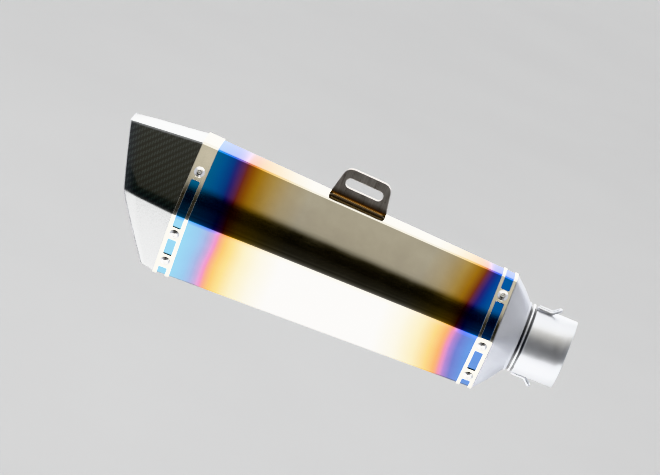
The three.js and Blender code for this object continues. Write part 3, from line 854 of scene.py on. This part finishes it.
HOOK = {
    "wire": 1.35 * MM, "root": -37 * MM, "bend": -24.2 * MM, "tip": -19.6 * MM, "half_gap": 2 * MM,
    "tip_height": 4.2 * MM, "upper": 6, "lower_lit": 180}
HOOK_WELD = Vector((3.6, 1.9, 1.2)) * MM         # half sizes of the weld at each foot


def make_hook(name, node, angle):
    """A hairpin of wire with its closed end bent away from the pipe, and a weld at each foot."""
    height = PIPE_RADIUS + HOOK["wire"] + GAP
    middle = (HOOK["bend"] + HOOK["tip"]) / 2
    leg = (
        (HOOK["root"], 0), ((HOOK["root"] + HOOK["bend"]) / 2, 0), (HOOK["bend"], 0.3 * MM),
        (middle, HOOK["tip_height"] / 2), (HOOK["tip"], HOOK["tip_height"]))
    left = [Vector((x, -HOOK["half_gap"], height + h)) for x, h in leg]
    right = [Vector((x, HOOK["half_gap"], height + h)) for x, h in reversed(leg)]
    crown = Vector((HOOK["tip"] + 1.2 * MM, 0, height + HOOK["tip_height"] + 1.2 * MM))
    turn = Matrix.Rotation(math.radians(angle), 3, "X")
    route = [turn @ point for point in (*left, crown, *right)]
    curve = bpy.data.curves.new(name + "_path", "CURVE")
    curve.dimensions = "3D"
    spline = curve.splines.new("BEZIER")
    spline.bezier_points.add(len(route) - 1)
    for knot, point in zip(spline.bezier_points, route):
        knot.co = point
        knot.handle_left_type = knot.handle_right_type = "AUTO"
    spline.resolution_u = 10
    curve.bevel_depth = HOOK["wire"]
    curve.bevel_resolution = 6
    curve.use_fill_caps = True
    piece = smooth(link_object(name, mesh_of(curve)), 60)
    settle(piece, MATERIALS["satin_steel"], "satin_steel", node)
    for k, end in enumerate((left[0], right[-1])):
        foot = turn @ Vector((end.x + HOOK_WELD.x / 2, end.y, PIPE_RADIUS + 0.25 * MM))
        make_weld_spot(f"{name}_weld_{k + 1}", foot, turn, HOOK_WELD)
    return piece


def make_weld_spot(name, at, turn, size):
    """A small uneven lump of weld metal."""
    work = bmesh.new()
    bmesh.ops.create_icosphere(work, subdivisions=4, radius=1.0)
    for vertex in work.verts:
        swell = 1 + 0.16 * noise.noise(vertex.co * 2.3 + at * 900)
        vertex.co = at + turn @ (vertex.co * size) * swell
    mesh = bpy.data.meshes.new(name)
    work.to_mesh(mesh)
    work.free()
    piece = smooth(link_object(name, mesh), 80)
    return settle(piece, MATERIALS["blasted_steel"], "satin_steel")


# ---- hanger bracket -------------------------------------------------------------------------

BRACKET = {
    "x": -222.4 * MM, "base": 55 * MM, "top": 43 * MM, "height": 29.5 * MM, "corner": 8 * MM,
    "thickness": 3 * MM, "slot_length": 36 * MM, "slot_width": 9 * MM, "slot_height": 16.3 * MM}
WELD = {"length": 51 * MM, "leg": 3.0 * MM, "ripple": 1.7 * MM, "steps": 180}


def bracket_matrix():
    """From the bracket's own frame, with its foot at the origin, to the row frame."""
    station = station_at(BRACKET["x"])
    slope = math.atan2(REAR.half_height - FRONT.half_height, FRONT.x - REAR.x)
    at = Vector((BRACKET["x"], 0, station.centre_z + station.half_height))
    return Matrix.Translation(at) @ Matrix.Rotation(slope, 4, "Y")


def bracket_outline():
    """(along, up) round the plate from its front foot, with the two top corners blended."""
    half_base, half_top, height = BRACKET["base"] / 2, BRACKET["top"] / 2, BRACKET["height"]
    edge = Vector((half_base - half_top, -height)).normalized() * BRACKET["corner"]
    start, knee = Vector((half_top, height)) + edge, Vector((half_top, height))
    end = Vector((half_top - BRACKET["corner"], height))
    bend = []
    for k in range(13):
        t = k / 12
        point = start * (1 - t) ** 2 + knee * 2 * t * (1 - t) + end * t ** 2
        bend.append((point.x, point.y))
    right = [(half_base, GAP), *bend]
    return right + [(-x, z) for x, z in reversed(right)]


def slot_outline():
    reach = (BRACKET["slot_length"] - BRACKET["slot_width"]) / 2
    radius, height = BRACKET["slot_width"] / 2, BRACKET["slot_height"]
    return arc((reach, height), radius, -90, 90, 16) + arc((-reach, height), radius, 90, 270, 16)


def make_bracket():
    """The plate as a flat filled curve with its slot, given thickness and a broken edge."""
    curve = bpy.data.curves.new("bracket_outline", "CURVE")
    curve.dimensions = "2D"
    curve.fill_mode = "BOTH"
    for outline in (bracket_outline(), slot_outline()):
        spline = curve.splines.new("POLY")
        spline.points.add(len(outline) - 1)
        spline.use_cyclic_u = True
        for point, (x, z) in zip(spline.points, outline):
            point.co = (x, z, 0, 1)
    rounding = 0.35 * MM
    curve.extrude = BRACKET["thickness"] / 2 - rounding
    curve.bevel_depth = rounding
    curve.bevel_resolution = 3
    curve.offset = -rounding
    mesh = mesh_of(curve)
    mesh.transform(bracket_matrix() @ Matrix.Rotation(math.pi / 2, 4, "X"))
    piece = smooth(link_object("hanger_plate", mesh), 30)
    return settle(piece, MATERIALS["dark_bracket_steel"], "dark_bracket_steel", "hanger_bracket")


def make_bracket_weld(name, node, sign):
    """A rippled fillet bead along one side of the bracket's foot."""
    place = bracket_matrix()
    foot = BRACKET["thickness"] / 2 + 0.1 * MM
    rings = []
    for k in range(WELD["steps"] + 1):
        t = k / WELD["steps"]
        x = (t - 0.5) * WELD["length"]
        fade = min(1.0, math.sqrt(max(0.0, 1 - abs(2 * t - 1) ** 18)) + 0.02)
        wander = 0.05 * noise.noise(Vector((x * 400, sign, 0)))
        ripple = 1 + 0.10 * abs(math.sin(math.pi * x / WELD["ripple"])) + wander
        size = WELD["leg"] * fade * ripple
        bulge = [(foot + y, GAP + 0.9 * z) for y, z in arc((0, 0), size, 0, 90, 8)]
        ring = [(foot - 0.6 * MM, GAP - 0.2 * MM), *bulge]
        rings.append([place @ Vector((x, sign * y, z)) for y, z in ring])
    piece = smooth(loft(name, rings, capped=True), 50)
    return settle(piece, MATERIALS["dark_bracket_steel"], "dark_bracket_steel", node)


# ---- inside ---------------------------------------------------------------------------------

def make_outlet_tube():
    """A thin tube whose open end is rolled into a bead."""
    low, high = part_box("outlet_tube")
    inner, wall = 30.25 * MM, 1.25 * MM
    rolled = (high[1] - inner - wall) / 2 + 0.4 * MM
    centre = (low[0] + rolled, high[1] - rolled)
    profile = [
        (high[0], inner), (high[0], inner + wall), (centre[0] + 3 * rolled, inner + wall),
        *arc(centre, rolled, 60, 300, 16), (centre[0] + 2 * rolled, inner)]
    piece = smooth(lathe("rolled_outlet_tube", profile, 96), 60)
    return settle(piece, MATERIALS["core_steel"], "core_steel", "outlet_tube")


CORE_WALL = 1 * MM
CORE_PLAIN = 12 * MM              # unpunched length at each end, at least
HOLES_AROUND = 28
HOLE_SIDES = 12
HOLE_PART = 0.27                  # radius of a hole as a part of its square cell


def join_rings(work, a, b):
    for n in range(len(a)):
        m = (n + 1) % len(a)
        work.faces.new((a[n], a[m], b[m], b[n]))


def core_skin(work, radius, cell, columns, ends):
    """One skin of the punched tube: a net of cells, each with its hole. Returns all open rims."""
    def vertex(x, girth):
        angle = 2 * math.pi * girth / (HOLES_AROUND * cell)
        return work.verts.new((x, radius * math.cos(angle), radius * math.sin(angle)))

    grid = [
        [[vertex(x + s / 3 * cell, j * cell) for s in range(3)] for j in range(HOLES_AROUND)]
        for x in columns]
    ladder = [
        [[vertex(x, (j + s / 3) * cell) for s in (1, 2)] for j in range(HOLES_AROUND)]
        for x in columns]
    rims = []
    for i, x in enumerate(columns[:-1]):
        for j in range(HOLES_AROUND):
            k = (j + 1) % HOLES_AROUND
            border = [
                *grid[i][j], grid[i + 1][j][0], *ladder[i + 1][j], grid[i + 1][k][0],
                *reversed(grid[i][k]), *reversed(ladder[i][j])]
            centre = (x + cell / 2, (j + 0.5) * cell)
            hole = arc(centre, HOLE_PART * cell, 225, 585, HOLE_SIDES)[:-1]
            rims.append([vertex(*point) for point in hole])
            join_rings(work, border, rims[-1])
    for x, i in zip(ends, (0, -1)):
        edge = [v for j in range(HOLES_AROUND) for v in (grid[i][j][0], *ladder[i][j])]
        rims.append([vertex(x, n * cell / 3) for n in range(len(edge))])
        join_rings(work, edge, rims[-1])
    return rims


def make_core():
    """The perforated tube: two punched skins joined at their holes and ends."""
    low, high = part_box("perforated_core")
    cell = 2 * math.pi * high[1] / HOLES_AROUND
    along = int((high[0] - low[0] - 2 * CORE_PLAIN) / cell)
    start = (low[0] + high[0] - along * cell) / 2
    columns = [start + i * cell for i in range(along + 1)]
    work = bmesh.new()
    ends = (low[0], high[0])
    outer = core_skin(work, high[1], cell, columns, ends)
    inner = core_skin(work, high[1] - CORE_WALL, cell, columns, ends)
    for a, b in zip(outer, inner):
        join_rings(work, a, b)
    loose = [v for v in work.verts if not v.link_faces]
    bmesh.ops.delete(work, geom=loose, context="VERTS")
    bmesh.ops.recalc_face_normals(work, faces=work.faces)
    mesh = bpy.data.meshes.new("punched_core")
    work.to_mesh(mesh)
    work.free()
    piece = smooth(link_object("punched_core", mesh), 40)
    return settle(piece, MATERIALS["core_steel"], "core_steel", "perforated_core")


INSIDE = {
    "steel_wool_wrap": "steel_wool", "glass_wool_packing": "glass_wool",
    "front_core_plate": "core_steel", "rear_core_plate": "core_steel",
}


def dress_cad_nodes():
    """Better materials on the CAD nodes whose shape stays as it is."""
    for node, slot in INSIDE.items():
        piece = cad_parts[node]
        for place in piece.material_slots:
            place.material = MATERIALS[slot]


# ---- stage, light and camera ----------------------------------------------------------------

FLOOR_Z = -0.42                   # well below, so the muffler hangs clear over its soft shadow
FLOOR_HALF = 12
# Studio round the muffler by the angle in the YZ plane: 0 is towards -Y, 90 is up. Values are
# (angle, radiance, warmth), and the colour ramp holds them as parts of WORLD_STRENGTH.
WORLD_STRENGTH = 12.0
REAR_CARD_GAIN = (-0.20, -0.10, 1.25, 0.0)    # the low cards are brighter past the rear: X range, gain
EDGE_LEAN = (-0.08, 0.25, 0.107, -0.336)      # the cards' edges rise towards +X: X range, radians
SIDE_START, SIDE_FULL = 0.35, 0.75            # |X| range over which the cards give way to plain grey
SIDE_COLOR = (0.062, 0.064, 0.070)
CAMERA_COLOR = (0.60, 0.60, 0.60)             # what the camera sees past the floor
WARM_RED, WARM_BLUE = 0.06, -0.15             # change in red and blue at warmth 1
STUDIO = (
    (-180, 0.9, 0), (-150, 0.8, 0), (-132, 2.2, 0), (-118, 2.2, 0), (-110, 0.12, 0), (-103, 0.08, 0),
    (-99, 5.0, 0), (-58, 5.2, 0), (-46, 4.8, 0), (-41, 0.6, 0), (-32, 0.24, 0), (-20, 0.14, 0),
    (0, 0.10, 0), (20, 0.05, 0), (29, 0.10, 0), (30.2, 0.03, 0), (31.2, 0.12, 0), (32.2, 0.035, 0),
    (33.2, 0.11, 0), (34.2, 0.015, 0), (38, 0.015, 0), (38.8, 0.62, 1), (46, 0.68, 1), (68, 0.68, 1),
    (84, 2.8, 0), (104, 3.0, 0), (116, 1.3, 0), (140, 1.6, 0), (157, 7.0, 0), (173, 7.0, 0), (180, 0.9, 0),
)


def studio_stops():
    stops = []
    for degrees, radiance, warmth in STUDIO:
        part = radiance / WORLD_STRENGTH
        color = (part * (1 + WARM_RED * warmth), part, part * (1 + WARM_BLUE * warmth))
        stops.append(((degrees + 180) / 360, color))
    return stops


def make_world():
    """A soft studio: its ramp of light is what the metal reflects, and the camera sees plain pale."""
    world = bpy.data.worlds.new("studio")
    bpy.context.scene.world = world
    world.use_nodes = True
    g = Nodes(world.node_tree)
    g.tree.nodes.clear()
    x, y, z = g.split(g.node("TexCoord").outputs["Generated"])
    angle = g.math("ARCTAN2", z, g.math("MULTIPLY", y, -1.0))
    leaned = g.math("ADD", angle, g.remap(x, *EDGE_LEAN))
    cards = g.ramp(g.remap(leaned, -math.pi, math.pi, 0.0, 1.0), studio_stops())
    low = g.math("LESS_THAN", z, 0.0)
    gain = g.math("MULTIPLY_ADD", g.remap(x, *REAR_CARD_GAIN), low, 1.0)
    cards = g.node("VectorMath", {"Vector": cards, "Scale": gain}, operation="SCALE").outputs[0]
    side = g.math("ABSOLUTE", x)
    beside = g.remap(side, SIDE_START, SIDE_FULL, 0.0, 1.0, interpolation_type="SMOOTHSTEP")
    color = g.mix(beside, cards, SIDE_COLOR)
    studio = g.node("Background", {"Color": color, "Strength": WORLD_STRENGTH})
    plain = g.node("Background", {"Color": (*CAMERA_COLOR, 1)})
    choose = g.node("MixShader")
    seen = g.node("LightPath").outputs["Is Camera Ray"]
    for socket, value in zip(choose.inputs, (seen, studio.outputs[0], plain.outputs[0])):
        g.feed(socket, value)
    g.node("OutputWorld", {"Surface": choose.outputs[0]})


def make_floor():
    half = FLOOR_HALF
    corners = [(x, y, FLOOR_Z) for x, y in ((-half, -half), (half, -half), (half, half), (-half, half))]
    piece = mesh_object("floor", corners, [(0, 1, 2, 3)])
    g = Graph("pale_floor", Roughness=0.8)
    grain = g.noise(3, g.place(), 2.0)
    tone = g.ramp(grain, ((0.3, (0.315, 0.315, 0.315)), (0.7, (0.325, 0.325, 0.325))))
    piece.data.materials.append(g.out(Base_Color=tone))
    piece.visible_glossy = False


def make_light(name, place, aim, size, power):
    data = bpy.data.lights.new(name, "AREA")
    data.shape = "DISK"
    data.size = size
    data.energy = power
    lamp = link_object(name, data)
    lamp.location = place
    lamp.rotation_euler = (aim - place).to_track_quat("-Z", "Y").to_euler()
    lamp.visible_glossy = False
    return lamp


CAMERA = {"elevation": 16.0, "yaw": 0.8, "roll": 22.3, "distance": 2.6, "lens": 158.1}
AIM_OFFSET = Vector((-15.3, 0, 10.5)) * MM       # from the middle of the CAD box to the aim


def make_camera(centre):
    elevation, yaw, roll = (math.radians(CAMERA[key]) for key in ("elevation", "yaw", "roll"))
    forward = Vector((
        -math.sin(yaw) * math.cos(elevation), math.cos(yaw) * math.cos(elevation), -math.sin(elevation)))
    level = Vector((math.cos(yaw), math.sin(yaw), 0))
    up = level.cross(forward)
    right = level * math.cos(roll) + up * math.sin(roll)
    upward = up * math.cos(roll) - level * math.sin(roll)
    data = bpy.data.cameras.new("camera")
    data.lens = CAMERA["lens"]
    data.sensor_width = 36
    camera = link_object("camera", data)
    at = centre + AIM_OFFSET - forward * CAMERA["distance"]
    camera.matrix_world = Matrix((
        (right.x, upward.x, -forward.x, at.x), (right.y, upward.y, -forward.y, at.y),
        (right.z, upward.z, -forward.z, at.z), (0, 0, 0, 1)))
    bpy.context.scene.camera = camera


# ---- the assembly ---------------------------------------------------------------------------

CENTRE = (Vector(CAD_BOX[0]) + Vector(CAD_BOX[1])) / 2
make_camera(CENTRE)
make_sleeve()
make_band("front_strap", "front_band", FRONT_LAYOUT)
make_band("rear_strap", "rear_band", REAR_LAYOUT)
for end, layout in (("front", FRONT_LAYOUT), ("rear", REAR_LAYOUT)):
    for number, place in enumerate(rivet_places(f"{end}_band", layout), 1):
        make_rivet(f"{end}_dome_rivet_{number}", f"{end}_rivet_{number}", place)
make_cap()
make_cut_edge()
make_cone()
make_neck()
make_pipe()
make_hook("upper_hook_wire", "upper_spring_hook", HOOK["upper"])
make_hook("lower_hook_wire", "lower_spring_hook", HOOK["lower_lit"])
make_bracket()
make_bracket_weld("weld_bead_left", "bracket_weld_left", -1)
make_bracket_weld("weld_bead_right", "bracket_weld_right", 1)
make_outlet_tube()
make_core()
dress_cad_nodes()

make_world()
make_floor()
make_light("overhead", Vector((-0.2, 0.4, 2.2)), CENTRE, 1.6, 30)
make_light("fill", Vector((-1.6, -1.8, 1.6)), CENTRE, 1.4, 14)
bpy.context.scene.view_settings.view_transform = "Khronos PBR Neutral"
